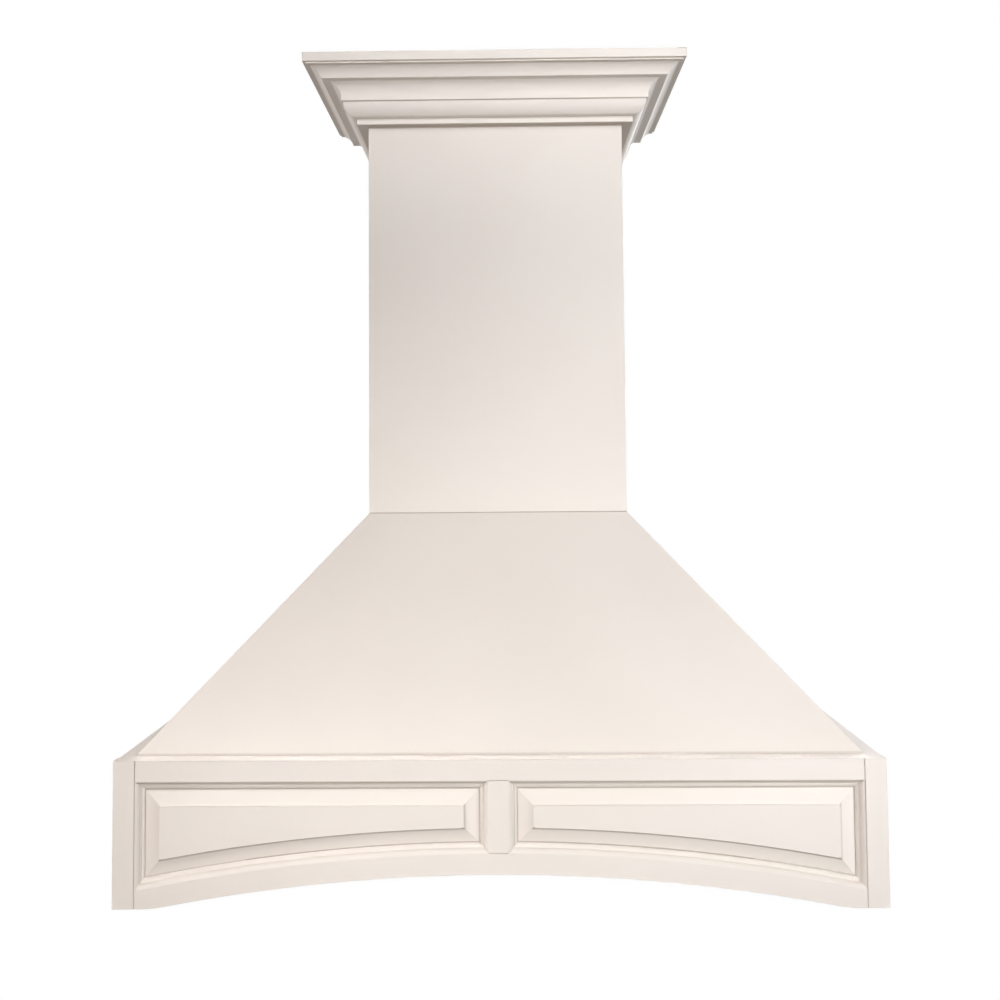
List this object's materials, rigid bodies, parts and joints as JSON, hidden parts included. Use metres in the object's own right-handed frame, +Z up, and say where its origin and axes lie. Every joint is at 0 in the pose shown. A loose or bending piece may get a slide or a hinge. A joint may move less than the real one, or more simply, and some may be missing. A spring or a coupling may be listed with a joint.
{
  "type": "range hood",
  "caption": "Wall range hood with a painted wooden chimney, sloped canopy, arched raised-panel apron and crown moulding around a steel insert with filters and blower.",
  "frame": {"origin": "on the wall plane, at the bottom edge and middle of the back board", "axes": "+Z up, -Y out of the front of the hood, +Y into the wall, +X to the right seen from the front"},
  "size_m": [0.914, 0.6, 1.08],
  "materials": {
    "painted_wood": "satin warm white paint",
    "bare_wood": "unpainted, planed",
    "brushed_steel": "brushed",
    "polished_steel": "polished",
    "galvanised_steel": "galvanised",
    "damper_aluminium": "mill",
    "motor_enamel": "satin black",
    "lamp_glass": "frosted",
    "switch_plastic": "matte"
  },
  "bodies": {
    "shell": {"chimney_front_board": "painted_wood", "chimney_left_board": "painted_wood", "chimney_right_board": "painted_wood", "canopy_front_board": "painted_wood", "canopy_left_board": "painted_wood", "canopy_right_board": "painted_wood", "skirt_left_board": "painted_wood", "skirt_right_board": "painted_wood", "skirt_front_lining": "painted_wood", "apron_left_stile": "painted_wood", "apron_right_stile": "painted_wood", "apron_centre_stile": "painted_wood", "apron_top_rail": "painted_wood", "apron_bottom_rail": "painted_wood", "apron_left_panel": "painted_wood", "apron_right_panel": "painted_wood", "crown_front": "painted_wood", "crown_left": "painted_wood", "crown_right": "painted_wood", "chimney_corner_posts": "bare_wood", "wall_rails": "bare_wood", "canopy_battens": "bare_wood", "liner_battens": "bare_wood", "skirt_back_board": "bare_wood", "liner_pan": "brushed_steel", "plenum_box": "brushed_steel", "control_fascia": "brushed_steel", "lamp_bezels": "polished_steel", "damper_pins": "polished_steel", "blower_chamber": "galvanised_steel", "scroll_wrap": "galvanised_steel", "scroll_left_plate": "galvanised_steel", "scroll_right_plate": "galvanised_steel", "motor_bracket": "galvanised_steel", "duct_collar": "galvanised_steel", "filter_keepers": "galvanised_steel", "control_housing": "galvanised_steel", "junction_box": "galvanised_steel", "motor_body": "motor_enamel", "lamp_lenses": "lamp_glass", "button_switches": "switch_plastic"},
    "filter_left": {"filter_left_frame": "brushed_steel", "filter_left_baffles": "brushed_steel", "filter_left_handle": "polished_steel"},
    "filter_centre": {"filter_centre_frame": "brushed_steel", "filter_centre_baffles": "brushed_steel", "filter_centre_handle": "polished_steel"},
    "filter_right": {"filter_right_frame": "brushed_steel", "filter_right_baffles": "brushed_steel", "filter_right_handle": "polished_steel"},
    "button_power": {"button_power": "polished_steel"},
    "button_low": {"button_low": "polished_steel"},
    "button_medium": {"button_medium": "polished_steel"},
    "button_high": {"button_high": "polished_steel"},
    "button_light": {"button_light": "polished_steel"},
    "impeller": {"impeller_wheel": "galvanised_steel", "motor_shaft": "polished_steel"},
    "damper_front": {"damper_front_flap": "damper_aluminium"},
    "damper_rear": {"damper_rear_flap": "damper_aluminium"}
  },
  "joints": [
    {"name": "filter_left_tilt", "type": "hinge", "parent": "shell", "child": "filter_left", "pos_m": [-0.264, -0.062, 0.057], "axis": [1, 0, 0], "range_deg": [0, 80]},
    {"name": "filter_centre_tilt", "type": "hinge", "parent": "shell", "child": "filter_centre", "pos_m": [0, -0.062, 0.057], "axis": [1, 0, 0], "range_deg": [0, 80]},
    {"name": "filter_right_tilt", "type": "hinge", "parent": "shell", "child": "filter_right", "pos_m": [0.264, -0.062, 0.057], "axis": [1, 0, 0], "range_deg": [0, 80]},
    {"name": "button_power_press", "type": "slide", "parent": "shell", "child": "button_power", "axis": [0, 0, 1], "range_m": [0, 0.002], "stiffness_N_per_m": 400, "springref_m": -0.002},
    {"name": "button_low_press", "type": "slide", "parent": "shell", "child": "button_low", "axis": [0, 0, 1], "range_m": [0, 0.002], "stiffness_N_per_m": 400, "springref_m": -0.002},
    {"name": "button_medium_press", "type": "slide", "parent": "shell", "child": "button_medium", "axis": [0, 0, 1], "range_m": [0, 0.002], "stiffness_N_per_m": 400, "springref_m": -0.002},
    {"name": "button_high_press", "type": "slide", "parent": "shell", "child": "button_high", "axis": [0, 0, 1], "range_m": [0, 0.002], "stiffness_N_per_m": 400, "springref_m": -0.002},
    {"name": "button_light_press", "type": "slide", "parent": "shell", "child": "button_light", "axis": [0, 0, 1], "range_m": [0, 0.002], "stiffness_N_per_m": 400, "springref_m": -0.002},
    {"name": "impeller_spin", "type": "hinge", "parent": "shell", "child": "impeller", "pos_m": [0, -0.234, 0.263], "axis": [1, 0, 0], "continuous": true},
    {"name": "damper_front_swing", "type": "hinge", "parent": "shell", "child": "damper_front", "pos_m": [0, -0.177, 0.446], "axis": [-1, 0, 0], "range_deg": [0, 80]},
    {"name": "damper_rear_swing", "type": "hinge", "parent": "shell", "child": "damper_rear", "pos_m": [0, -0.167, 0.446], "axis": [1, 0, 0], "range_deg": [0, 80]}
  ]
}
